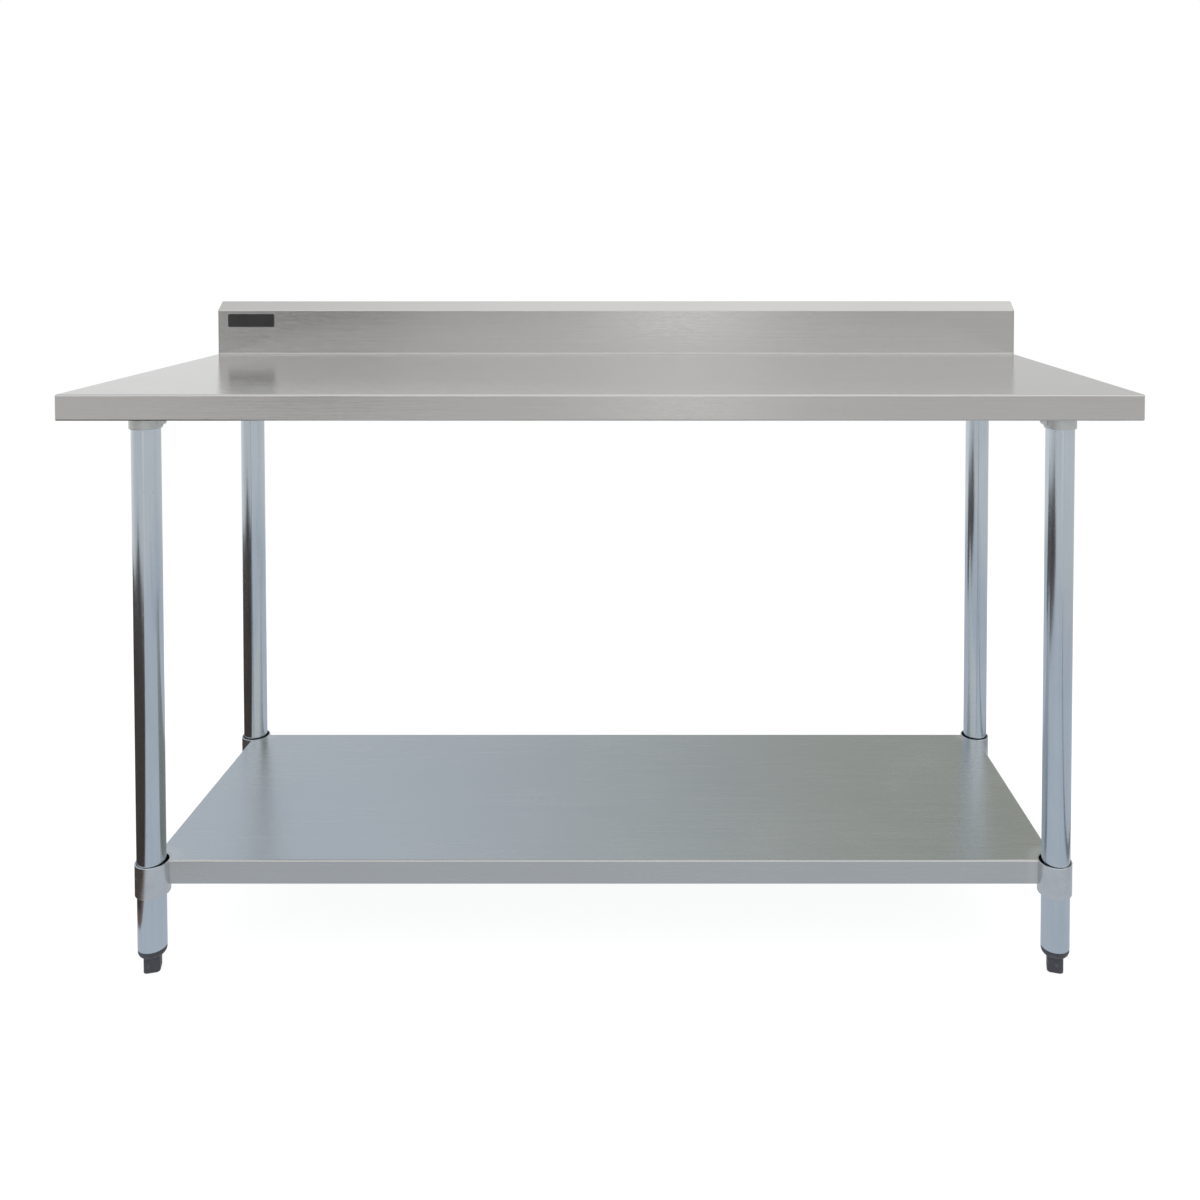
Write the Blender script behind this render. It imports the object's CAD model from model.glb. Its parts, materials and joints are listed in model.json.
import json
import math

import bpy
import numpy as np
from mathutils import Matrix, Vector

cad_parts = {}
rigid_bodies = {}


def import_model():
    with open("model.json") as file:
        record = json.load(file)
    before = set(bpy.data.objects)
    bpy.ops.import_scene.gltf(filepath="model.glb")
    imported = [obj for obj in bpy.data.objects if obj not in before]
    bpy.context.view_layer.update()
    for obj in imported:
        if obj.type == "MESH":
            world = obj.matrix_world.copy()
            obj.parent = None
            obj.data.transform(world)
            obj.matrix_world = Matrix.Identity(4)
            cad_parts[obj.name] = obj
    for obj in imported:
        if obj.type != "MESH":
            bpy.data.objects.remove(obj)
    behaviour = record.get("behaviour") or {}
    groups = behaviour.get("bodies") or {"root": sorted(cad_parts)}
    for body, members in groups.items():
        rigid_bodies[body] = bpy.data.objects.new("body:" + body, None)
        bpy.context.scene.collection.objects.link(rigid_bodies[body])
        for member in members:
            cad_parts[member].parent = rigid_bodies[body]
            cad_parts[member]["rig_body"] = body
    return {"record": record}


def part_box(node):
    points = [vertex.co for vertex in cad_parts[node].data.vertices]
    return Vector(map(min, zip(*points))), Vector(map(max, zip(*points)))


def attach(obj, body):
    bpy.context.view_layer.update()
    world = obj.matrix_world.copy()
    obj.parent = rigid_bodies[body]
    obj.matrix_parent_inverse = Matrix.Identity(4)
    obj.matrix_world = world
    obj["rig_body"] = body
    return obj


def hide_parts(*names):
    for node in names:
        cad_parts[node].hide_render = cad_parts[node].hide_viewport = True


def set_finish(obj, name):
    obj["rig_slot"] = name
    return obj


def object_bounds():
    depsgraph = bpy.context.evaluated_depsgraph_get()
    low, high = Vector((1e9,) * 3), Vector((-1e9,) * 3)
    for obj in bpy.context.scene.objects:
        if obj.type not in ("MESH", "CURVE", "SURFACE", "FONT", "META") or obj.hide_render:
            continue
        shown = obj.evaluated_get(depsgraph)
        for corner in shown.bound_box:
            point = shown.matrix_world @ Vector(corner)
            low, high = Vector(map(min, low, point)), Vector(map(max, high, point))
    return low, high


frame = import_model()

cadBox = [list(corner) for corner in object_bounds()]
record = frame["record"]
bodyOf = {node: body for body, nodes in record["behaviour"]["bodies"].items() for node in nodes}
facePoint = {mount["name"]: mount["pos_m"] for mount in record["mounts"]}
cornerSides = {"front_left": (-1, -1), "front_right": (1, -1), "rear_left": (-1, 1), "rear_right": (1, 1)}
mm = 0.001
fullTurn = 2 * math.pi


def legPlace(corner):
    low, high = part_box(f"leg_{corner}")
    return (low.x + high.x) / 2, (low.y + high.y) / 2


# ---- shapes: each is (points, four-sided faces, caps) ----

# A shell through rings of equally many points: ring v and ring v + 1 are joined by quads. "filled" closes the
# first and last ring with one face each, "joined" carries the last ring on to the first.
def ringStack(rings, ends="filled"):
    rows, columns = rings.shape[:2]
    index = np.arange(rows * columns).reshape(rows, columns)
    following = np.roll(index, -1, axis=1)
    above = np.roll(index, -1, axis=0)
    aboveFollowing = np.roll(following, -1, axis=0)
    quads = np.stack([index, following, aboveFollowing, above], axis=-1)
    if ends == "joined":
        return rings.reshape(-1, 3), quads.reshape(-1, 4), []
    return rings.reshape(-1, 3), quads[:-1].reshape(-1, 4), [index[0][::-1], index[-1]]


# Rings around the Z axis through a place: each point is (radius cos turn, radius sin turn, height), where the
# radius may differ from ring to ring and round a ring.
def polarRings(radii, heights, place, segments=96):
    turns = np.linspace(0, fullTurn, segments, endpoint=False)
    radii = np.asarray(radii, float).reshape(len(heights), -1) * np.ones(segments)
    heights = np.asarray(heights, float).reshape(-1, 1) * np.ones(segments)
    return np.stack([place[0] + radii * np.cos(turns), place[1] + radii * np.sin(turns), heights], axis=-1)


# A turned piece: a profile of (radius, height) pairs carried round the Z axis.
def turned(profile, place, segments=96, ends="joined"):
    profile = np.array(profile, float)
    return ringStack(polarRings(profile[:, :1], profile[:, 1], place, segments), ends)


# The profile of a plain bar, for turning about its own axis.
def barProfile(radius, low, high):
    return [(0.1 * mm, low), (radius, low), (radius, high), (0.1 * mm, high)]


# The closed profile of a tube with rounded ends, for turning about its own axis.
def tubeProfile(inner, outer, low, high, edge, segments):
    return rounded([(inner, low), (outer, low), (outer, high), (inner, high)], edge, segments, closed=True)


# A corner path with each inner corner replaced by an arc of its own radius, turned in equal steps. Each arc has
# one extra point a little before and after it, which keeps the flats beside it flat in the shading.
def rounded(points, radii, segments=8, closed=False, margin=0.4 * mm):
    points = np.array(points, float)
    count = len(points)
    radii = np.ones(count) * radii
    path = []
    for index, corner in enumerate(points):
        if (not closed and index in (0, count - 1)) or radii[index] <= 0:
            path.append(corner)
            continue
        before = points[index - 1] - corner
        after = points[(index + 1) % count] - corner
        before /= np.linalg.norm(before)
        after /= np.linalg.norm(after)
        half = math.acos(np.clip(before @ after, -1, 1)) / 2
        setBack = radii[index] / math.tan(half)
        centre = corner + (before + after) / np.linalg.norm(before + after) * radii[index] / math.sin(half)
        first = corner + before * setBack - centre
        last = corner + after * setBack - centre
        sweep = math.pi - 2 * half
        shares = np.linspace(0, 1, segments + 1)[:, None]
        arc = (np.sin((1 - shares) * sweep) * first + np.sin(shares * sweep) * last) / math.sin(sweep)
        path += [corner + before * (setBack + margin), *(centre + arc), corner + after * (setBack + margin)]
    return np.array(path)


# A convex outline, counterclockwise, with every side moved inwards by the same distance.
def insetOutline(points, distance):
    points = np.array(points, float)
    sides = np.roll(points, -1, axis=0) - points
    sides /= np.linalg.norm(sides, axis=1)[:, None]
    inward = np.column_stack([-sides[:, 1], sides[:, 0]])
    before = np.roll(inward, 1, axis=0)
    middle = inward + before
    return points + middle * (distance / np.sum(middle * inward, axis=1))[:, None]


# The closed section of a folded sheet whose middle line is the path: the path moved half a wall to each side.
def sheetSection(path, wall):
    steps = np.diff(path, axis=0)
    steps /= np.linalg.norm(steps, axis=1)[:, None]
    normals = np.column_stack([-steps[:, 1], steps[:, 0]])
    middle = np.vstack([2 * normals[:1], normals[:-1] + normals[1:], 2 * normals[-1:]])
    stretch = 2 / np.sum(middle * middle, axis=1)
    offset = middle * stretch[:, None] * wall / 2
    return np.vstack([path + offset, (path - offset)[::-1]])


# A closed section in two axes carried straight along the third.
def extruded(section, stations, axis):
    stations = np.asarray(stations, float)
    rings = np.empty((len(stations), len(section), 3))
    across = [number for number in range(3) if number != axis]
    rings[:, :, across] = section[None]
    rings[:, :, axis] = stations[:, None]
    return outwards(ringStack(rings))


# Turns a closed shell right side out: its signed volume, summed over the triangles of every face, is positive.
def outwards(shell):
    points, quads, caps = shell
    triangles = np.vstack([quads[:, [0, 1, 2]], quads[:, [0, 2, 3]]])
    fans = [np.column_stack([np.full(len(cap) - 2, cap[0]), cap[1:-1], cap[2:]]) for cap in caps]
    corners = points[np.vstack([triangles, *fans])]
    volume = np.sum(corners[:, 0] * np.cross(corners[:, 1], corners[:, 2]))
    return shell if volume > 0 else (points, quads[:, ::-1], [cap[::-1] for cap in caps])


# The radius of a regular polygon's outline in each direction: half flats / cos(angle from the nearest flat).
def polygonRadius(turns, sides, halfFlats):
    step = fullTurn / sides
    return halfFlats / np.cos((turns + step / 2) % step - step / 2)


# Radii of a rounded square: the largest distance in each direction that stays inside the flats and the corners.
def squareRadius(turns, half, corner):
    x, y = np.abs(np.cos(turns)), np.abs(np.sin(turns))
    flat = half / np.maximum(x, y)
    inner = half - corner
    along = inner * (x + y)
    arc = along + np.sqrt(np.maximum(along**2 - 2 * inner**2 + corner**2, 0))
    onArc = flat * np.minimum(x, y) > inner
    return np.where(onArc, arc, flat)


# A helical thread: radius = crest - depth * triangle wave of (height / pitch - turn / full turn), and both ends
# run down to the root over one pitch.
def threaded(crest, pitch, depth, low, high, place, segments=32, rowsPerPitch=8):
    heights = np.linspace(low, high, int((high - low) / pitch * rowsPerPitch) + 1)[:, None]
    turns = np.linspace(0, fullTurn, segments, endpoint=False)
    wave = np.abs((heights / pitch - turns / fullTurn) % 1 - 0.5) * 2
    fromEnd = np.minimum(heights - low, high - heights) / pitch
    limit = crest - depth * np.clip(1.15 - fromEnd, 0, 1.15)
    radii = np.minimum(crest - depth * wave, limit)
    return ringStack(polarRings(radii, heights[:, 0], place, segments))


# Lays a shell that stands on the Z axis so that its axis points along a heading, at a height, through a place.
def laid(shell, heading, height, place):
    x, y, z = shell[0].T
    along = np.array([math.cos(heading), math.sin(heading)])
    side = np.array([-along[1], along[0]])
    flat = z[:, None] * along + y[:, None] * side + np.array(place)[:2]
    return np.column_stack([flat, height - x]), shell[1], shell[2]


# ---- pieces ----

def addPiece(name, shells, slot, body, sharpDegrees=32):
    starts = np.cumsum([0] + [len(shell[0]) for shell in shells])
    points = np.vstack([shell[0] for shell in shells])
    faces = []
    for start, (_, quads, caps) in zip(starts, shells):
        faces += (quads + start).tolist() + [(cap + start).tolist() for cap in caps]
    mesh = bpy.data.meshes.new(name)
    mesh.from_pydata(points, [], faces)
    mesh.shade_smooth()
    mesh.set_sharp_from_angle(angle=math.radians(sharpDegrees))
    mesh.materials.append(finishes[slot])
    piece = bpy.data.objects.new(name, mesh)
    bpy.context.scene.collection.objects.link(piece)
    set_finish(piece, slot)
    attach(piece, body)
    return piece


# A finer piece that stands for one solid of the frame and moves with that solid's body.
def refine(node, shells, slot, sharpDegrees=32):
    piece = addPiece(f"{node}_fine", shells, slot, bodyOf[node], sharpDegrees)
    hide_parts(node)
    return piece


# Cuts closed shells out of a piece with an exact Boolean, and keeps the result as its mesh.
def cutFrom(piece, shells):
    cutter = addPiece(f"{piece.name}_cutter", shells, piece["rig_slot"], piece["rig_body"])
    modifier = piece.modifiers.new("cut", "BOOLEAN")
    modifier.object = cutter
    modifier.solver = "EXACT"
    bpy.context.view_layer.update()
    evaluated = piece.evaluated_get(bpy.context.evaluated_depsgraph_get())
    mesh = bpy.data.meshes.new_from_object(evaluated)
    piece.modifiers.clear()
    piece.data = mesh
    mesh.shade_smooth()
    mesh.set_sharp_from_angle(angle=math.radians(32))
    bpy.data.objects.remove(cutter)


# ---- shading ----

# A socket that takes part in Python arithmetic: every operator on values adds one Math node.
class Signal:
    def __init__(self, tree, socket):
        self.tree = tree
        self.socket = socket

    def maths(self, operation, first, second=None):
        values = {0: first} if second is None else {0: first, 1: second}
        return self.tree.node("ShaderNodeMath", {"operation": operation}, values)

    def __add__(self, other):
        return self.maths("ADD", self, other)

    def __radd__(self, other):
        return self.maths("ADD", other, self)

    def __sub__(self, other):
        return self.maths("SUBTRACT", self, other)

    def __rsub__(self, other):
        return self.maths("SUBTRACT", other, self)

    def __mul__(self, other):
        return self.maths("MULTIPLY", self, other)

    def __rmul__(self, other):
        return self.maths("MULTIPLY", other, self)

    def __abs__(self):
        return self.maths("ABSOLUTE", self)

    def smooth(self, low, high):  # 0 below low, 1 above high, an even curve between
        settings = {"interpolation_type": "SMOOTHSTEP"}
        return self.tree.node("ShaderNodeMapRange", settings, {"Value": self, 1: low, 2: high})

    def hump(self, centre, width):  # 1 at the centre, 0 a width away to both sides
        return 1 - abs(self - centre).smooth(0, width)

    def parts(self):  # the three numbers of a vector
        made = self.tree.node("ShaderNodeSeparateXYZ", {}, {0: self})
        return [Signal(self.tree, made.socket.node.outputs[number]) for number in range(3)]


class ShaderTree:
    def __init__(self, nodeTree):
        self.nodes = nodeTree.nodes
        self.links = nodeTree.links

    # One node: its settings come first, then the values or links of its sockets; gives the output asked for.
    def node(self, kind, settings=None, sockets=None, output=0):
        made = self.nodes.new(kind)
        for name, value in (settings or {}).items():
            if name == "stops":
                self.setStops(made.color_ramp, value)
            else:
                setattr(made, name, value)
        for name, value in (sockets or {}).items():
            self.join(value, made.inputs[name])
        return Signal(self, made.outputs[output])

    def join(self, value, socket):
        if isinstance(value, Signal):
            self.links.new(value.socket, socket)
        else:
            socket.default_value = value

    def setStops(self, ramp, stops):
        while len(ramp.elements) < len(stops):
            ramp.elements.new(1)
        for element, (position, colour) in zip(ramp.elements, stops):
            element.position = position
            element.color = (*colour, 1)

    def objectPlace(self):
        return self.node("ShaderNodeTexCoord", output="Object")

    def mixColour(self, factor, first, second):
        sockets = {"Factor": factor, 6: solid(first), 7: solid(second)}
        return self.node("ShaderNodeMix", {"data_type": "RGBA"}, sockets, output=2)

    def mixVector(self, factor, first, second):
        sockets = {"Factor": factor, 4: first, 5: second}
        return self.node("ShaderNodeMix", {"data_type": "VECTOR"}, sockets, output=1)

    # Noise on object coordinates, counted in waves per metre along each axis.
    def noise(self, place, waves, detail=2, roughness=0.5):
        scaled = self.node("ShaderNodeMapping", {}, {"Vector": place, "Scale": waves})
        sockets = {"Vector": scaled, "Scale": 1, "Detail": detail, "Roughness": roughness}
        return self.node("ShaderNodeTexNoise", {}, sockets)

    def bump(self, height, distance, strength=1.0, normal=None):
        sockets = {"Height": height, "Distance": distance, "Strength": strength}
        if normal is not None:
            sockets["Normal"] = normal
        return self.node("ShaderNodeBump", {}, sockets)


def solid(colour):
    return colour if isinstance(colour, Signal) else (*colour, 1)


# A material with fixed values on its shader, ready for what varies over the surface.
class Finish(ShaderTree):
    def __init__(self, name, fixed):
        self.material = bpy.data.materials.new(name)
        self.material.use_nodes = True
        super().__init__(self.material.node_tree)
        self.shader = self.nodes["Principled BSDF"]
        for label, value in fixed.items():
            self.shader.inputs[label].default_value = value

    def varying(self, **sockets):
        for label, value in sockets.items():
            self.join(value, self.shader.inputs[label.replace("_", " ")])
        return self.material


# Brushed sheet: fine grain drawn out along the sheet's length, wider and fainter bands between, and slow
# changes from handling. Where a side is folded down at an end, the grain runs down with it.
def brushedSheet(name, look):
    steel = Finish(name, {"Metallic": 1.0})
    place = steel.objectPlace()
    facing = steel.node("ShaderNodeNewGeometry", output="True Normal").parts()
    foldedSide = abs(facing[0]).smooth(0.5, 0.8)
    alongLength = steel.node("ShaderNodeMapping", {}, {"Vector": place, "Scale": (look["along"], 1, 1)})
    downSide = steel.node("ShaderNodeMapping", {}, {"Vector": place, "Scale": (1, 1, look["along"])})
    drawn = steel.mixVector(foldedSide, alongLength, downSide)
    grain = steel.noise(drawn, (look["grainWaves"],) * 3, detail=3, roughness=0.65)
    bands = steel.noise(drawn, (look["bandWaves"],) * 3, detail=2)
    slow = steel.noise(place, (look["slowWaves"],) * 3, detail=2)
    smears = steel.noise(place, (7, 9, 9), detail=4, roughness=0.6).smooth(0.52, 0.75)
    tone = (grain - 0.5) * look["grainTone"] + (bands - 0.5) * look["bandTone"] + (slow - 0.5) * look["slowTone"]
    colour = steel.mixColour(0.5 + tone, look["dark"], look["light"])
    rough = look["rough"] + (grain - 0.5) * 0.10 + (bands - 0.5) * 0.08 + (slow - 0.5) * 0.06 + smears * 0.03
    if "groundReach" in look:
        ground = groundNear(place, look["groundReach"])
        colour = steel.mixColour(ground * 0.6, colour, look["light"])
        rough = rough + ground * 0.08
    waves = steel.bump(slow, look["waveHeight"], 1.0)
    ridges = steel.bump(grain + bands * 0.4, look["grainHeight"], 1.0, waves)
    return steel.varying(Base_Color=colour, Roughness=rough, Normal=ridges)


# Where the sheet was ground after welding: within a reach of the nearest leg's axis, sqrt(x^2 + y^2) from it.
def groundNear(place, reach):
    legX, legY = legPlace("rear_right")
    x, y, _ = place.parts()
    fromX, fromY = abs(x) - legX, abs(y) - legY
    return 1 - (fromX * fromX + fromY * fromY).smooth((0.6 * reach) ** 2, reach**2)


worktopLook = {
    "along": 0.012, "grainWaves": 1500, "bandWaves": 260, "slowWaves": 3.0,
    "grainTone": 0.32, "bandTone": 0.15, "slowTone": 0.30, "dark": (0.52, 0.512, 0.50), "light": (0.70, 0.69, 0.675),
    "rough": 0.11, "waveHeight": 0.00025, "grainHeight": 0.00007,
}
shelfLook = {
    **worktopLook, "dark": (0.50, 0.51, 0.50), "light": (0.66, 0.67, 0.66), "rough": 0.25, "grainWaves": 1300,
    "groundReach": 48 * mm,
}


# Bright zinc tube: drawn lines along the tube, a little waviness, and a faint blue bloom.
def brightZinc(look):
    zinc = Finish("bright_zinc_tube", {"Metallic": 1.0})
    place = zinc.objectPlace()
    lines = zinc.noise(place, (420, 420, 3), detail=3, roughness=0.6)
    bloom = zinc.noise(place, (30, 30, 9), detail=3)
    specks = zinc.noise(place, (260, 260, 200), detail=2).smooth(0.66, 0.74)
    tone = 0.5 + (lines - 0.5) * 0.5 + (bloom - 0.5) * 0.7 - specks * 0.25
    colour = zinc.mixColour(tone, look["dark"], look["light"])
    rough = look["rough"] + (lines - 0.5) * 0.08 + (bloom - 0.5) * 0.08 + specks * 0.10
    sway = zinc.noise(place, (14, 14, 5), detail=1)
    waves = zinc.bump(sway, look["waveHeight"], 1.0)
    ridges = zinc.bump(lines, look["lineHeight"], 1.0, waves)
    return zinc.varying(Base_Color=colour, Roughness=rough, Normal=ridges)


zincLook = {
    "dark": (0.52, 0.585, 0.64), "light": (0.70, 0.765, 0.83), "rough": 0.15, "waveHeight": 0.0006,
    "lineHeight": 0.00001,
}


# Satin metal with turning marks round it and a fine cast grain.
def satinMetal(name, look):
    satin = Finish(name, {"Metallic": 1.0})
    place = satin.objectPlace()
    rings = satin.noise(place, (12, 12, 1400), detail=2)
    skin = satin.noise(place, (900, 900, 900), detail=3, roughness=0.6)
    cloud = satin.noise(place, (60, 60, 60), detail=3)
    tone = 0.5 + (skin - 0.5) * look["skinTone"] + (cloud - 0.5) * 0.6 + (rings - 0.5) * look["ringTone"]
    colour = satin.mixColour(tone, look["dark"], look["light"])
    rough = look["rough"] + (cloud - 0.5) * 0.12 + (skin - 0.5) * 0.1
    relief = satin.bump(skin * look["skinRelief"] + rings * look["ringRelief"], 0.00003, 1.0)
    return satin.varying(Base_Color=colour, Roughness=rough, Normal=relief)


collarLook = {
    "dark": (0.56, 0.575, 0.59), "light": (0.76, 0.78, 0.80), "rough": 0.25, "skinTone": 0.25, "ringTone": 0.3,
    "skinRelief": 0.35, "ringRelief": 0.5,
}
socketLook = {
    "dark": (0.52, 0.545, 0.53), "light": (0.76, 0.78, 0.76), "rough": 0.42, "skinTone": 0.7, "ringTone": 0.0,
    "skinRelief": 1.6, "ringRelief": 0.0,
}
fastenerLook = {
    "dark": (0.50, 0.51, 0.50), "light": (0.72, 0.72, 0.68), "rough": 0.28, "skinTone": 0.3, "ringTone": 0.1,
    "skinRelief": 0.3, "ringRelief": 0.2,
}


# Hot dipped sheet: flat crystals some millimetres wide, each with its own brightness and gloss.
def spangledSheet(look):
    zinc = Finish("galvanised_spangle", {"Metallic": 1.0})
    place = zinc.objectPlace()
    warp = zinc.noise(place, (90, 90, 90), detail=1)
    shifted = zinc.node("ShaderNodeVectorMath", {"operation": "ADD"}, {0: place, 1: zinc.node(
        "ShaderNodeVectorMath", {"operation": "SCALE"}, {0: warp, "Scale": 0.006})})
    sockets = {"Vector": shifted, "Scale": look["crystalsPerMetre"]}
    crystal = zinc.node("ShaderNodeTexVoronoi", {}, sockets, output="Color").parts()[0]
    fine = zinc.noise(place, (500, 500, 500), detail=3)
    colour = zinc.mixColour(crystal * 0.75 + fine * 0.25, look["dark"], look["light"])
    rough = look["rough"] + (crystal - 0.5) * 0.16
    relief = zinc.bump(crystal * 0.3 + fine, 0.00003, 1.0)
    return zinc.varying(Base_Color=colour, Roughness=rough, Normal=relief)


spangleLook = {"crystalsPerMetre": 130, "dark": (0.42, 0.44, 0.455), "light": (0.66, 0.68, 0.69), "rough": 0.42}


# Moulded plastic: a fine even texture, paler rubbed places and a little dust on what faces up.
def mouldedPlastic(look):
    plastic = Finish("charcoal_moulded_plastic", {"Metallic": 0.0, "Specular IOR Level": 0.5})
    place = plastic.objectPlace()
    facing = plastic.node("ShaderNodeNewGeometry", output="Normal").parts()
    texture = plastic.noise(place, (2600, 2600, 2600), detail=2)
    rubbed = plastic.noise(place, (160, 160, 160), detail=4, roughness=0.65).smooth(0.50, 0.72)
    dust = facing[2].smooth(0.4, 0.9) * plastic.noise(place, (240, 240, 240), detail=3).smooth(0.4, 0.7)
    body = plastic.mixColour(rubbed, look["body"], look["rubbed"])
    colour = plastic.mixColour(dust * 0.35, body, look["dust"])
    rough = look["rough"] + (texture - 0.5) * 0.15 - rubbed * 0.10 + dust * 0.25
    relief = plastic.bump(texture, 0.00005, 0.7)
    return plastic.varying(Base_Color=colour, Roughness=rough, Normal=relief)


plasticLook = {
    "body": (0.040, 0.041, 0.050), "rubbed": (0.075, 0.077, 0.088), "dust": (0.20, 0.19, 0.18), "rough": 0.48,
}


# Black enamel under a clear coat, with the faint orange peel of a dipped plate.
def blackEnamel(look):
    enamel = Finish("black_enamel_plate", {"Metallic": 0.0, "Coat Roughness": 0.08})
    place = enamel.objectPlace()
    peel = enamel.noise(place, (420, 420, 420), detail=2)
    haze = enamel.noise(place, (70, 70, 70), detail=3)
    colour = enamel.mixColour(haze, look["deep"], look["hazed"])
    rough = look["rough"] + (haze - 0.5) * 0.12
    relief = enamel.bump(peel, 0.00004, 0.5)
    return enamel.varying(Base_Color=colour, Roughness=rough, Coat_Weight=0.6 + haze * 0.3, Normal=relief)


enamelLook = {"deep": (0.006, 0.006, 0.007), "hazed": (0.016, 0.016, 0.018), "rough": 0.30}

finishes = {
    "worktop_stainless": brushedSheet("brushed_stainless_worktop", worktopLook),
    "shelf_stainless": brushedSheet("brushed_stainless_shelf", shelfLook),
    "collar_metal": satinMetal("satin_collar", collarLook),
    "socket_metal": satinMetal("cast_socket", socketLook),
    "bright_zinc": brightZinc(zincLook),
    "galvanised_channel": spangledSheet(spangleLook),
    "fastener": satinMetal("plated_fastener", fastenerLook),
    "foot_plastic": mouldedPlastic(plasticLook),
    "badge_black": blackEnamel(enamelLook),
}
print(f"finishes made: {len(finishes)}")


# ---- worktop and upstand ----

sheetSize = {"wall": 1.2 * mm, "cornerRadius": 3 * mm, "edgeRadius": 2.8 * mm, "hemRadius": 2.0 * mm, "lip": 14 * mm}
splashSize = {
    "face": 83 * mm, "rise": 18.7 * mm, "bend": 2.5 * mm, "return": 15 * mm, "endLip": 10 * mm, "endGap": 0.3 * mm,
}


# Rows of a tray's section as (inset from the outline, height): from the ceiling inside, down the inner wall,
# round the lip and up the outer wall to the top face.
def trayRows(top, bottom, wall, lip, edgeRadius, hemRadius):
    outer = rounded(
        [(lip, bottom), (0, bottom), (0, top), (lip, top)], [0, hemRadius, edgeRadius, 0], segments=6,
    )[:-1]
    inner = rounded(
        [(lip, top - wall), (wall, top - wall), (wall, bottom + wall), (lip, bottom + wall)],
        [0, edgeRadius - wall, hemRadius - wall, 0], segments=6,
    )[1:]
    return np.vstack([inner, outer])


def makeWorktop():
    low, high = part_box("worktop_sheet")
    surface = facePoint["worktop_surface"][2]
    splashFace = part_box("splash_end_left")[0].y
    rear = splashFace - splashSize["endGap"]
    wall = sheetSize["wall"]
    rows = trayRows(surface, low.z, wall, sheetSize["lip"], sheetSize["edgeRadius"], sheetSize["hemRadius"])
    rings = []
    for inset, height in rows:
        left, right, front = low.x + inset, high.x - inset, low.y + inset
        radius = max(sheetSize["cornerRadius"] - inset, 0.1 * mm)
        path = rounded([(left, rear), (left, front), (right, front), (right, rear)], radius, segments=8)
        rings.append(np.column_stack([path, np.full(len(path), height)]))
    rings = np.array(rings)
    rowCount, columns = rings.shape[:2]
    index = np.arange(rowCount * columns).reshape(rowCount, columns)
    quads = np.stack([index[:-1, :-1], index[:-1, 1:], index[1:, 1:], index[1:, :-1]], axis=-1).reshape(-1, 4)
    rearEdge = np.array([index[0, 0], index[0, -1], index[-1, -1], index[-1, 0]])
    caps = [index[0][::-1], index[-1], index[:, 0], index[::-1, -1], rearEdge]
    tray = outwards((rings.reshape(-1, 3), quads, caps))

    path, _ = splashPath()
    section = sheetSection(path, wall)
    half = high.x - wall - splashSize["endGap"]
    upstand = extruded(section, (-half, half), 0)
    refine("worktop_sheet", [tray, upstand], "worktop_stainless")


# The upstand's middle line in the Y-Z plane: up from the worktop, over a sloped strip and down at the wall. Given
# with the height of its top fold.
def splashPath():
    surface, wall = facePoint["worktop_surface"][2], sheetSize["wall"]
    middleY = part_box("splash_end_left")[0].y + wall / 2
    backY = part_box("worktop_sheet")[1].y - wall / 2
    fold = surface + splashSize["face"]
    crest = fold + splashSize["rise"]
    corners = [
        (middleY - 2.6 * mm, surface - wall / 2), (middleY, surface - wall / 2), (middleY, fold), (backY, crest),
        (backY, crest - splashSize["return"]),
    ]
    return rounded(corners, splashSize["bend"], segments=8)[2:], crest


# An end plate: a strip folded once round its wall-side edge, cut to the upstand's side view. Its section at each
# place along the strip is an upright rectangle as thick as the sheet.
def makeSplashEnds():
    wall = sheetSize["wall"]
    middle, crest = splashPath()
    outer = sheetSection(middle, wall)[:len(middle)]
    above = (outer[:, 1] > crest - splashSize["rise"] - 0.5 * mm) & (outer[:, 0] < outer[:, 0].max() - 0.001 * mm)
    for side, name in ((-1, "splash_end_left"), (1, "splash_end_right")):
        low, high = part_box(name)
        outside = (low.x if side < 0 else high.x) - side * wall / 2
        wallSide = high.y - wall / 2
        inner = outside - side * (splashSize["endLip"] - wall / 2)
        corners = [(outside, low.y), (outside, wallSide), (inner, wallSide)]
        path = rounded(corners, 1.2 * mm, segments=6, margin=0.2 * mm)
        path = np.vstack([path[:1], path[0] + [0, 0.5 * mm], path[1:]])
        onPlate = np.abs(path[:, 0] - outside) < 0.7 * mm
        lipTop = crest - splashSize["return"] - 0.3 * mm
        tops = np.where(onPlate, np.interp(path[:, 1], outer[above, 0], outer[above, 1]) - 0.05 * mm, lipTop)
        steps = np.gradient(path, axis=0)
        steps /= np.linalg.norm(steps, axis=1)[:, None]
        across = np.column_stack([-steps[:, 1], steps[:, 0]]) * wall / 2
        rings = np.empty((len(path), 4, 3))
        for corner, (sign, top) in enumerate(((-1, False), (1, False), (1, True), (-1, True))):
            rings[:, corner, :2] = path + sign * across
            rings[:, corner, 2] = tops if top else low.z
        refine(name, [outwards(ringStack(rings))], "worktop_stainless")


makeWorktop()
makeSplashEnds()
print("worktop and upstand made")


# ---- channels under the sheets ----

channelSize = {"wall": 1.5 * mm, "flange": 15 * mm, "bend": 2.5 * mm, "studRadius": 3 * mm, "studPitch": 1.0 * mm}


# A hat channel's middle line: flange, web, crown, web, flange.
def hatSection(centre, low, high):
    wall, flange = channelSize["wall"], channelSize["flange"]
    half = (high[0] - low[0]) / 2
    top, bottom = high[1] - wall / 2, low[1] + wall / 2
    web = half - flange
    points = [(-half, top), (-web, top), (-web, bottom), (web, bottom), (web, top), (half, top)]
    section = sheetSection(rounded(points, channelSize["bend"], segments=6), wall)
    return section + np.array([centre, 0])


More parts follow.
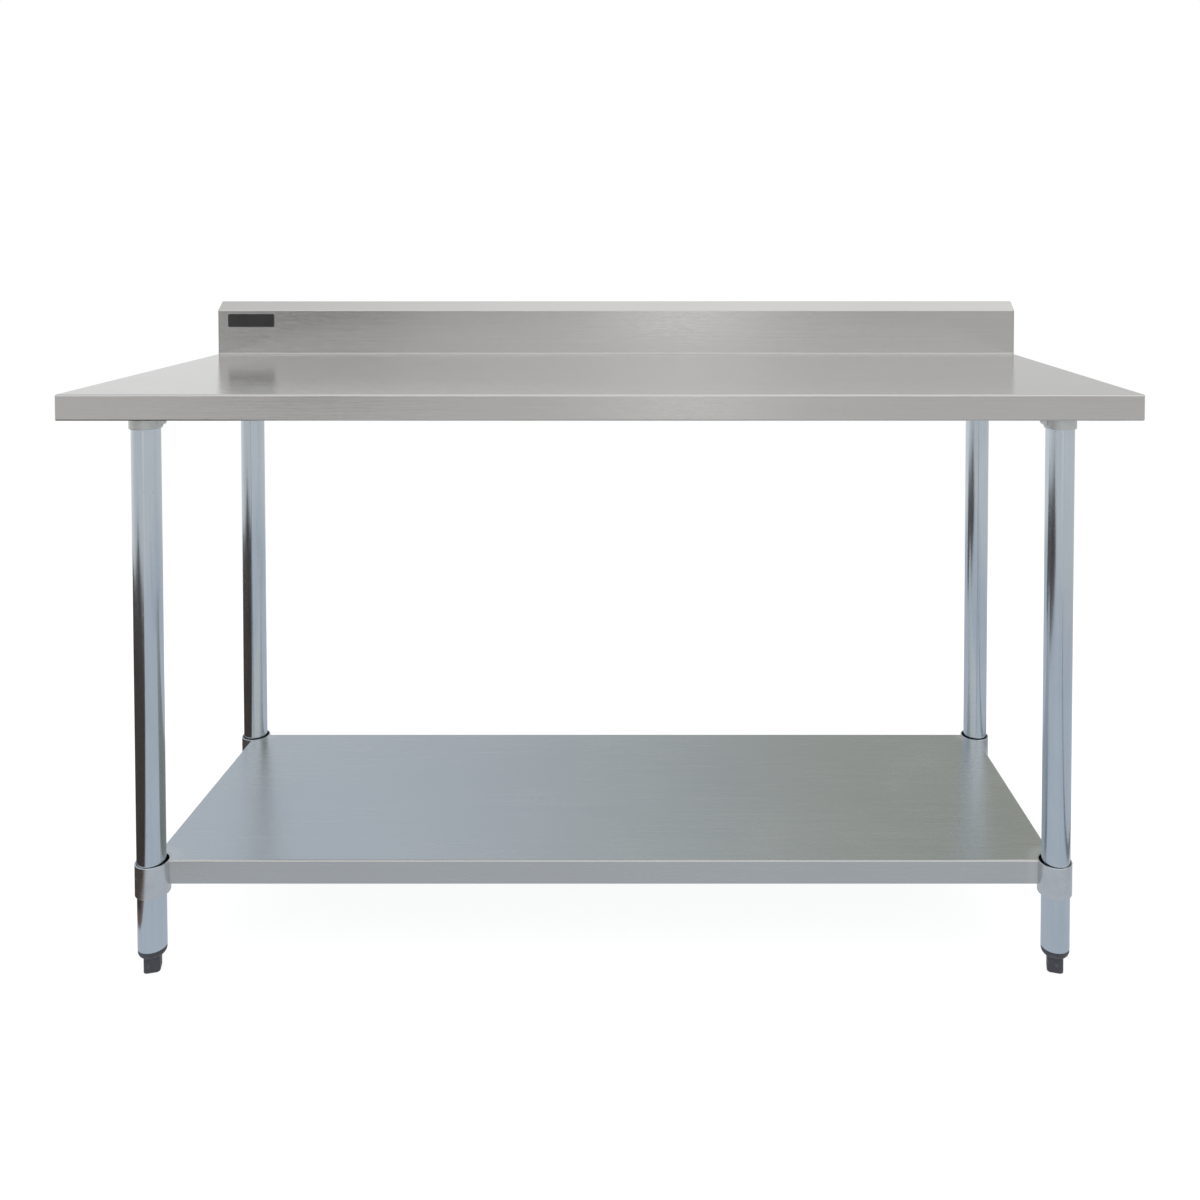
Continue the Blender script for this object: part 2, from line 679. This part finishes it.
def makeChannels():
    depth = 20 * mm
    for name in ("cross_channel_left", "cross_channel_right"):
        low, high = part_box(name)
        centre = (low.x + high.x) / 2
        crown = high.z - depth
        section = hatSection(centre, (low.x, crown), (high.x, high.z))
        shells = [extruded(section, (low.y, low.y + 0.5 * mm, high.y - 0.5 * mm, high.y), 1)]
        for corner, (sideX, _) in cornerSides.items():
            if sideX * centre < 0:
                continue
            for suffix in "ab":
                place = nutPlace(corner, suffix)
                shells.append(threaded(
                    channelSize["studRadius"], channelSize["studPitch"], 0.55 * mm, low.z, crown + 0.5 * mm, place,
                    segments=24))
                foot = [(0.2 * mm, crown + 0.4 * mm), (4.6 * mm, crown + 0.4 * mm), (4.3 * mm, crown - 0.2 * mm),
                        (3.2 * mm, crown - 0.9 * mm), (0.2 * mm, crown - 1.0 * mm)]
                shells.append(outwards(turned(foot, place, 24, "filled")))
        refine(name, shells, "galvanised_channel")
    for name in ("worktop_channel", "shelf_channel"):
        low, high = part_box(name)
        section = hatSection((low.y + high.y) / 2, (low.y, low.z), (high.y, high.z))
        stations = (low.x, low.x + 0.5 * mm, high.x - 0.5 * mm, high.x)
        refine(name, [extruded(section, stations, 0)], "galvanised_channel")


def nutPlace(corner, suffix):
    low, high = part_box(f"socket_nut_{corner}_{suffix}")
    return (low.x + high.x) / 2, (low.y + high.y) / 2


makeChannels()
print("channels made")


# ---- legs, sockets, nuts and set screws ----

tubeSize = {"wall": 1.5 * mm, "edge": 0.35 * mm}
socketSize = {
    "bore": 20.95 * mm, "barrel": 23.3 * mm, "bossReach": 28 * mm, "bossHalf": 7 * mm, "bossBottom": 3.5 * mm,
    "bossChamfer": 3 * mm, "plate": 3 * mm, "plateCorner": 6 * mm, "fillet": 3 * mm, "edge": 0.6 * mm,
    "drilled": 3.3 * mm,
}


def makeLeg(corner):
    low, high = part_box(f"leg_{corner}")
    outer = (high.x - low.x) / 2
    inner = outer - tubeSize["wall"]
    profile = tubeProfile(inner, outer, low.z, high.z, tubeSize["edge"], 4)
    refine(f"leg_{corner}", [turned(profile, legPlace(corner), 128)], "bright_zinc")


# The cast socket as one stack of rings: up the bore's outside, out through a fillet to the square plate, and
# back down inside the bore. The boss for the set screw swells out of the barrel on the table's inner side.
def makeSocket(corner, sideX):
    node = f"leg_socket_{corner}"
    low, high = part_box(node)
    place = legPlace(corner)
    segments = 192
    turns = np.linspace(0, fullTurn, segments, endpoint=False)
    inward = np.cos(turns) * -sideX
    across = np.abs(np.sin(turns))
    plateUnder = high.z - socketSize["plate"]
    barrel, edge, bore = socketSize["barrel"], socketSize["edge"], socketSize["bore"]
    plateHalf = (high.x - low.x) / 2

    def barrelRadius(height):
        grown = np.clip((height - low.z - socketSize["bossBottom"]) / socketSize["bossChamfer"], 0, 1)
        reach = barrel + (socketSize["bossReach"] - barrel) * grown
        boss = np.minimum(reach / np.maximum(inward, 1e-6), socketSize["bossHalf"] / np.maximum(across, 1e-6))
        boss = np.where(inward > 0, boss, 0)
        return np.maximum(barrel, np.where(grown > 0, boss, 0))

    plateRadius = squareRadius(turns, plateHalf, socketSize["plateCorner"])
    rows = [(np.full(segments, bore + edge), low.z), (np.full(segments, barrel - edge), low.z)]
    barrelHeights = np.linspace(low.z + edge, plateUnder - socketSize["fillet"], 24)
    rows += [(barrelRadius(height), height) for height in barrelHeights]
    for share in np.linspace(0.15, 1, 6) * math.pi / 2:
        spread = socketSize["fillet"] * (1 - math.cos(share))
        radius = np.minimum(barrelRadius(plateUnder) + spread, plateRadius - edge)
        rows.append((radius, plateUnder - socketSize["fillet"] * (1 - math.sin(share))))
    rows += [
        (plateRadius - edge, plateUnder), (plateRadius - edge * 0.3, plateUnder + edge * 0.3),
        (plateRadius, plateUnder + edge), (plateRadius, high.z - edge),
        (plateRadius - edge * 0.3, high.z - edge * 0.3),
        (plateRadius - edge, high.z), (plateRadius - 3 * edge, high.z),
    ]
    outside = polarRings([row[0] for row in rows], [row[1] for row in rows], place, segments)
    ceiling = high.z - socketSize["plate"] + 0.05 * mm
    inside = polarRings([[bore - 2 * edge], [bore], [bore]], [ceiling, ceiling, low.z + edge], place, segments)
    socket = refine(node, [ringStack(np.concatenate([inside, outside]))], "socket_metal")
    heading = 0 if sideX < 0 else math.pi
    screwLow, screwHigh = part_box(f"socket_screw_{corner}")
    hole = barProfile(socketSize["drilled"], 15 * mm, 35 * mm)
    cutters = [laid(turned(hole, (0, 0), 32, "filled"), heading, (screwLow.z + screwHigh.z) / 2, place)]
    for suffix in "ab":
        spot = nutPlace(corner, suffix)
        bar = barProfile(socketSize["drilled"], high.z - 9 * mm, high.z + 4 * mm)
        cutters.append(turned(bar, spot, 32, "filled"))
    cutFrom(socket, [outwards(cutter) for cutter in cutters])


# A nut: a hexagon whose corners a cone takes off at both faces, radius = the smaller of hexagon and cone.
def makeNut(corner, suffix):
    node = f"socket_nut_{corner}_{suffix}"
    low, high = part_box(node)
    segments = 96
    turns = np.linspace(0, fullTurn, segments, endpoint=False)
    halfFlats = min(high.x - low.x, high.y - low.y) / 2
    hexagon = polygonRadius(turns, 6, halfFlats)
    corners = hexagon.max()
    height = high.z - low.z
    depths = np.array([0, 0.15, 0.3, 0.5, 0.75]) * mm
    rows = [(np.minimum(hexagon, halfFlats * 0.97 + depth * 1.8), low.z + depth) for depth in depths]
    rows += [(np.minimum(hexagon, corners), low.z + height / 2)]
    rows += [(np.minimum(hexagon, halfFlats * 0.97 + depth * 1.8), high.z - depth) for depth in depths[::-1]]
    outside = polarRings([row[0] for row in rows], [row[1] for row in rows], nutPlace(corner, suffix), segments)
    bore, mouth = 3.2 * mm, 3.7 * mm
    heights = [high.z, high.z - 0.5 * mm, low.z + 0.5 * mm, low.z]
    inside = polarRings([[mouth], [bore], [bore], [mouth]], heights, nutPlace(corner, suffix), segments)
    refine(node, [ringStack(np.concatenate([outside, inside]), "joined")], "fastener")


# A headless screw: its thread, then a six-sided key recess let into the outer end.
def grubScrew(crest, pitch, tip, end):
    segments = 48
    turns = np.linspace(0, fullTurn, segments, endpoint=False)
    depth = pitch * 0.55
    heights = np.linspace(tip, end, int((end - tip) / pitch * 8) + 1)[:, None]
    wave = np.abs((heights / pitch - turns / fullTurn) % 1 - 0.5) * 2
    fromEnd = np.minimum(heights - tip, end - heights) / pitch
    radii = np.minimum(crest - depth * wave, crest - depth * np.clip(1.15 - fromEnd, 0, 1.15))
    key = polygonRadius(turns, 6, crest * 0.5)
    keyRows = np.stack([key * 1.08, key, key])
    allHeights = [*heights[:, 0], end, end - 0.1 * mm, end - 3 * mm]
    body = polarRings(np.vstack([radii, keyRows]), allHeights, (0, 0), segments)
    return outwards(ringStack(body))


def makeSocketScrew(corner, sideX):
    node = f"socket_screw_{corner}"
    low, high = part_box(node)
    place = legPlace(corner)
    tip = min(abs(low.x - place[0]), abs(high.x - place[0]))
    shell = grubScrew((high.z - low.z) / 2, 1.0 * mm, tip, tip + 8 * mm)
    heading = 0 if sideX < 0 else math.pi
    refine(node, [laid(shell, heading, (low.z + high.z) / 2, place)], "fastener")


for corner, (sideX, sideY) in cornerSides.items():
    makeLeg(corner)
    makeSocket(corner, sideX)
    makeSocketScrew(corner, sideX)
    for suffix in "ab":
        makeNut(corner, suffix)
print("legs, sockets, nuts and set screws made")


# ---- undershelf and collars ----

shelfSize = {"wall": 1.2 * mm, "lip": 12 * mm, "edgeRadius": 2.5 * mm, "hemRadius": 1.8 * mm, "notchGap": 0.05 * mm}
collarSize = {"radius": 25 * mm, "wall": 2 * mm, "edge": 0.5 * mm, "screwHole": 2.8 * mm, "weldRadius": 1.5 * mm}


# A tray through the leg axes, its corners notched round so that the flanges end against the collars.
def makeShelf():
    low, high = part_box("shelf_sheet")
    legX, legY = legPlace("rear_right")
    outline = [(-legX, -legY), (legX, -legY), (legX, legY), (-legX, legY)]
    size = shelfSize
    rows = trayRows(high.z, low.z, size["wall"], size["lip"], size["edgeRadius"], size["hemRadius"])
    rings = []
    for inset, height in rows:
        path = rounded(insetOutline(outline, inset), 1 * mm, segments=4, closed=True)
        rings.append(np.column_stack([path, np.full(len(path), height)]))
    shelf = refine("shelf_sheet", [outwards(ringStack(np.array(rings)))], "shelf_stainless")
    bar = barProfile(collarSize["radius"] + size["notchGap"], low.z - 5 * mm, high.z + 5 * mm)
    cutFrom(shelf, [outwards(turned(bar, collarPlace(corner), 128, "filled")) for corner in cornerSides])


def collarPlace(corner):
    low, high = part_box(f"shelf_collar_{corner}")
    return (low.x + high.x) / 2, (low.y + high.y) / 2


def makeCollar(corner, sideX, sideY):
    node = f"shelf_collar_{corner}"
    low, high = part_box(node)
    place = collarPlace(corner)
    outer = (high.x - low.x) / 2
    inner = outer - collarSize["wall"]
    profile = tubeProfile(inner, outer, low.z, high.z, collarSize["edge"], 5)
    collar = refine(node, [turned(profile, place, 128)], "collar_metal")
    screwLow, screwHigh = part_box(f"collar_screw_{corner}")
    heading = math.atan2(-sideY, -sideX)
    height = (screwLow.z + screwHigh.z) / 2
    hole = barProfile(collarSize["screwHole"], 12 * mm, 32 * mm)
    cutFrom(collar, [outwards(laid(turned(hole, (0, 0), 32, "filled"), heading, height, place))])
    tip = 19.25 * mm
    shell = grubScrew((screwHigh.z - screwLow.z) / 2, 0.8 * mm, tip, tip + 8 * mm)
    refine(f"collar_screw_{corner}", [laid(shell, heading, height, place)], "fastener")


# Two weld beads inside the flanges where they meet a collar: a standing bar whose radius swells once for each
# ripple of the weld, with rounded ends.
def makeCollarWelds(corner, sideX, sideY):
    shelfLow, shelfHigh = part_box("shelf_sheet")
    place = np.array(collarPlace(corner))
    radius = collarSize["weldRadius"]
    heights = np.linspace(shelfLow.z + 2 * mm, shelfHigh.z - 3 * mm, 97)
    ripple = 1 + 0.10 * np.abs(np.sin(heights / (1.7 * mm) * math.pi))
    fromEnd = np.minimum(heights - heights[0], heights[-1] - heights) / (2 * radius)
    cap = np.sqrt(np.clip(1 - (1 - np.clip(fromEnd, 0.02, 1)) ** 2, 0, 1))
    contact = collarSize["radius"] + 0.2 * mm
    inset = shelfSize["wall"] + 0.9 * mm
    along = math.sqrt(contact**2 - inset**2)
    beads = []
    for reach in ((along, inset), (inset, along)):
        spot = place - np.array([sideX, sideY]) * reach
        beads.append(ringStack(polarRings((radius * ripple * cap)[:, None], heights, spot, 20)))
    addPiece(f"collar_weld_{corner}", beads, "collar_metal", bodyOf["shelf_sheet"])


makeShelf()
for corner, (sideX, sideY) in cornerSides.items():
    makeCollar(corner, sideX, sideY)
    makeCollarWelds(corner, sideX, sideY)
print("undershelf and collars made")


# ---- levelling feet ----

footTurn = {"front_left": 15, "front_right": -16, "rear_left": 32, "rear_right": -8}
footSize = {
    "half": 11.7 * mm, "corner": 4.5 * mm, "chamfer": 3 * mm, "thread": 5 * mm, "pitch": 1.5 * mm, "hole": 5.3 * mm,
    "nose": 13.5 * mm,
}


# The insert: plug with two sealing ribs, a shoulder under the tube and a nose that swells like a quarter ellipse.
def makeInsert(corner):
    node = f"foot_insert_{corner}"
    low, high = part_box(node)
    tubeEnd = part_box(f"leg_{corner}")[0].z
    widest = (high.x - low.x) / 2
    shoulder = tubeEnd - 0.3 * mm
    straight = 2.6 * mm
    turns = np.linspace(0, math.pi / 2, 15)
    nose = footSize["nose"]
    bulge = np.column_stack([
        nose + (widest - nose) * np.sin(turns), low.z + (shoulder - straight - low.z) * (1 - np.cos(turns))])
    plug = 18.6 * mm
    ribHeights = np.linspace(shoulder + 2 * mm, high.z - 4 * mm, 49)
    ribs = np.column_stack([plug + 0.3 * mm * np.cos(ribHeights / (5 * mm) * fullTurn) ** 8, ribHeights])
    profile = np.vstack([
        [(footSize["hole"], low.z), (nose - 0.6 * mm, low.z)], bulge, [(widest, shoulder - 0.4 * mm),
        (widest - 0.4 * mm, shoulder), (plug, shoulder)], ribs, [(plug, high.z - 3 * mm), (plug - 1.5 * mm, high.z),
        (footSize["hole"], high.z)],
    ])
    refine(node, [outwards(turned(profile, legPlace(corner), 96))], "foot_plastic")


# The foot block: a rounded square turned as it was last screwed, drawn in at the foot by a curved chamfer and
# hollow where the stud is held.
def makeFootBlock(corner):
    node = f"foot_block_{corner}"
    low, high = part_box(node)
    place = legPlace(corner)
    segments = 128
    turns = np.linspace(0, fullTurn, segments, endpoint=False) - math.radians(footTurn[corner])
    half = footSize["half"]
    outer = squareRadius(turns, half, footSize["corner"])
    edge, chamfer = 0.7 * mm, footSize["chamfer"]
    rows = []
    for share in np.linspace(0, 1, 9):
        inset = chamfer * (1 - math.sin(share * math.pi / 2)) ** 1.2
        height = low.z + chamfer * (1 - math.cos(share * math.pi / 2))
        rows.append((squareRadius(turns, half - inset, footSize["corner"]), height))
    rows += [(outer, high.z - edge - 0.4 * mm), (outer, high.z - edge)]
    rows += [(outer - edge * (1 - math.cos(a)), high.z - edge * (1 - math.sin(a))) for a in (0.5, 1.0, math.pi / 2)]
    hole = footSize["hole"]
    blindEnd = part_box(f"foot_stud_{corner}")[0].z - 0.3 * mm
    rows += [(np.full(segments, hole + 0.5 * mm), high.z), (np.full(segments, hole), high.z - 0.5 * mm),
             (np.full(segments, hole), blindEnd)]
    sole = squareRadius(turns, half - chamfer - 2 * mm, footSize["corner"] * 0.6)
    rows = [(sole * 0.5, low.z + 0.5 * mm), (sole, low.z + 0.5 * mm), (sole + 0.5 * mm, low.z), *rows]
    rings = polarRings([row[0] for row in rows], [row[1] for row in rows], place, segments)
    refine(node, [outwards(ringStack(rings))], "foot_plastic")


def makeFootStud(corner):
    node = f"foot_stud_{corner}"
    low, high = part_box(node)
    shell = threaded(footSize["thread"], footSize["pitch"], 0.9 * mm, low.z, high.z, legPlace(corner), 40)
    refine(node, [shell], "fastener")


for corner in cornerSides:
    makeInsert(corner)
    makeFootBlock(corner)
    makeFootStud(corner)
print("levelling feet made")


# ---- badge plate ----

badgeSize = {"corner": 3 * mm, "rim": 1.1 * mm, "edge": 0.25 * mm, "sunk": 0.25 * mm}


# A blank plate with a narrow raised rim: outlines in the X-Z plane set in step by step towards its middle.
def makeBadge():
    low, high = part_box("badge_plate")
    outline = [(low.x, low.z), (high.x, low.z), (high.x, high.z), (low.x, high.z)]
    edge, rim, sunk = badgeSize["edge"], badgeSize["rim"], badgeSize["sunk"]
    steps = [(0, high.y), (0, low.y + edge), (edge * 0.3, low.y + edge * 0.3), (edge, low.y), (rim - edge, low.y),
             (rim, low.y + sunk), (rim + edge, low.y + sunk + 0.02 * mm), (rim + 2 * edge, low.y + sunk + 0.02 * mm)]
    rings = []
    for inset, depth in steps:
        path = rounded(insetOutline(outline, inset), badgeSize["corner"] - inset, 10, closed=True, margin=0.2 * mm)
        rings.append(np.column_stack([path[:, 0], np.full(len(path), depth), path[:, 1]]))
    refine("badge_plate", [outwards(ringStack(np.array(rings)))], "badge_black")


makeBadge()
print("badge plate made")


# ---- stage, light and camera ----

def stagePlane(name, corners, material, onlyReflected=False):
    mesh = bpy.data.meshes.new(name)
    mesh.from_pydata(corners, [], [tuple(range(len(corners)))])
    mesh.materials.append(material)
    plane = bpy.data.objects.new(name, mesh)
    bpy.context.scene.collection.objects.link(plane)
    if onlyReflected:
        plane.visible_camera = False
        plane.visible_diffuse = False
        plane.visible_transmission = False
        plane.visible_shadow = False
    return plane


# The floor: nearly white, a little darker where less of the room reaches it, and gone at its rim.
def floorMaterial():
    material = bpy.data.materials.new("pale_floor")
    material.use_nodes = True
    tree = ShaderTree(material.node_tree)
    tree.nodes.remove(tree.nodes["Principled BSDF"])
    place = tree.objectPlace()
    distance = tree.node("ShaderNodeVectorMath", {"operation": "LENGTH"}, {0: place}, output="Value")
    reflected = tree.node("ShaderNodeLightPath", output="Is Glossy Ray")
    diffuse = tree.node("ShaderNodeBsdfDiffuse", {}, {"Color": (0.30, 0.30, 0.30, 1)})
    glow = tree.node("ShaderNodeEmission", {}, {"Color": (1, 1, 1, 1), "Strength": stageLight["floorGlow"]})
    seen = tree.node("ShaderNodeAddShader", {}, {0: diffuse, 1: glow})
    sockets = {"Color": stageLight["floorTint"], "Strength": stageLight["floorReflected"]}
    mirrored = tree.node("ShaderNodeEmission", {}, sockets)
    either = tree.node("ShaderNodeMixShader", {}, {0: reflected, 1: seen, 2: mirrored})
    clear = tree.node("ShaderNodeBsdfTransparent")
    faded = tree.node("ShaderNodeMixShader", {}, {0: distance.smooth(1.9, 2.6), 1: either, 2: clear})
    tree.join(faded, tree.nodes["Material Output"].inputs["Surface"])
    return material


def glowMaterial(name, colour, strength):
    material = bpy.data.materials.new(name)
    material.use_nodes = True
    tree = ShaderTree(material.node_tree)
    tree.nodes.remove(tree.nodes["Principled BSDF"])
    glow = tree.node("ShaderNodeEmission", {}, {"Color": (*colour, 1), "Strength": strength})
    tree.join(glow, tree.nodes["Material Output"].inputs["Surface"])
    return material


stageLight = {
    "floorGlow": 0.86, "floorReflected": 0.58, "floorTint": (0.93, 0.98, 1.06, 1),
    "frontLow": 0.67, "front": 0.57, "frontHigh": 1.02, "frontGlint": 1.15, "frontShade": 0.26, "rearLeft": 0.83,
    "rearRight": 0.66, "aboveLeft": 0.82,
    "above": 1.04, "below": 0.55, "wallLeft": (0.62, 0.72, 0.86), "wallRight": (0.34, 0.37, 0.31), "wallFoot": 0.24,
}


# The room as a function of direction: grey towards the camera with one window strip and one dim strip low down,
# paler behind the table, a cool left and a greenish right part half way up the wall behind, and a bright ceiling.
def makeRoom():
    world = bpy.data.worlds.new("studio")
    bpy.context.scene.world = world
    world.use_nodes = True
    tree = ShaderTree(world.node_tree)
    direction = tree.node("ShaderNodeTexCoord", output="Generated")
    x, y, z = direction.parts()
    light = stageLight
    behind = y.smooth(-0.35, 0.35)
    level = z.hump(0, 0.30)
    front = tree.mixColour(z.smooth(-0.15, -0.08), (light["frontLow"],) * 3, (light["front"],) * 3)
    front = tree.mixColour(z.smooth(0.07, 0.14), front, (light["frontHigh"],) * 3)
    front = tree.mixColour(x.hump(0.02, 0.08) * level, front, (light["frontGlint"],) * 3)
    shade = x.hump(-0.30, 0.12) * z.smooth(-0.14, -0.09) * (1 - z.smooth(0.08, 0.13))
    front = tree.mixColour(shade, front, (light["frontShade"],) * 3)
    rear = tree.mixColour(x.smooth(-0.45, 0.2), (light["rearLeft"],) * 3, (light["rearRight"],) * 3)
    wallTint = tree.mixColour(x.smooth(-0.30, 0.30), light["wallLeft"], light["wallRight"])
    wallTint = tree.mixColour((1 - z.smooth(0.38, 0.49)) * light["wallFoot"], wallTint, (0, 0, 0))
    ceiling = tree.mixColour(x.smooth(-0.45, 0.0), (light["aboveLeft"],) * 3, (light["above"],) * 3)
    level = tree.mixColour(behind, front, rear)
    level = tree.mixColour(behind * z.hump(0.46, 0.30), level, wallTint)
    level = tree.mixColour(z.smooth(0.55, 0.92), level, ceiling)
    level = tree.mixColour((0 - z).smooth(0.18, 0.40), level, (light["below"],) * 3)
    cameraRay = tree.node("ShaderNodeLightPath", output="Is Camera Ray")
    colour = tree.mixColour(cameraRay, level, (1, 1, 1))
    tree.join(colour, tree.nodes["Background"].inputs["Color"])


stageCards = {
    "floorRadius": 2.6, "floorHeight": -0.5 * mm, "height": 1 * mm, "leftGap": 0.10, "rightGap": 0.26,
    "darkFloor": (0.055, 0.042, 0.036), "wornEdge": (0.16, 0.11, 0.09), "paperEdge": (0.14, 0.15, 0.16),
}


# The floor, and three cards on it that show in reflections only: a dark floor to the left of the table with a worn
# edge, and a seam to the right. Each outline is a list of (x, y).
def makeStage():
    turns = np.linspace(0, fullTurn, 96, endpoint=False)
    radius = stageCards["floorRadius"]
    height = np.full(96, stageCards["floorHeight"])
    rim = np.column_stack([radius * np.cos(turns), radius * np.sin(turns), height])
    stagePlane("floor", rim.tolist(), floorMaterial())
    left = cadBox[0][0] - stageCards["leftGap"]
    right = cadBox[1][0] + stageCards["rightGap"]
    cards = [
        ("dark_floor_left", "dark_floor_beyond", "darkFloor",
         [(-2.9, -2.2), (left - 0.06, -2.2), (left, -0.2), (left + 0.01, 0.9), (-2.9, 1.3)]),
        ("worn_edge_left", "worn_floor_edge", "wornEdge",
         [(left - 0.06, -2.2), (left - 0.02, -2.2), (left + 0.05, -0.2), (left + 0.06, 0.9), (left + 0.01, 0.9),
          (left, -0.2)]),
        ("paper_edge_right", "paper_edge", "paperEdge",
         [(right, -2.0), (right + 0.07, -2.0), (right + 0.05, 1.2), (right, 1.2)]),
    ]
    for name, materialName, tint, outline in cards:
        corners = [(x, y, stageCards["height"]) for x, y in outline]
        stagePlane(name, corners, glowMaterial(materialName, stageCards[tint], 1.0), onlyReflected=True)


cameraSet = {
    "place": (0.0846, -1.8644, 1.0839), "down": 0.0289, "lens": 33.64, "film": 36, "shift": (-0.0503, -0.269),
}


def makeCamera():
    data = bpy.data.cameras.new("camera")
    data.lens = cameraSet["lens"]
    data.sensor_width = cameraSet["film"]
    data.shift_x, data.shift_y = cameraSet["shift"]
    camera = bpy.data.objects.new("camera", data)
    bpy.context.scene.collection.objects.link(camera)
    camera.location = cameraSet["place"]
    camera.rotation_euler = (math.pi / 2 - cameraSet["down"], 0, 0)
    bpy.context.scene.camera = camera


makeRoom()
makeStage()
makeCamera()
bpy.context.scene.view_settings.view_transform = "Standard"
print("stage, light and camera made")
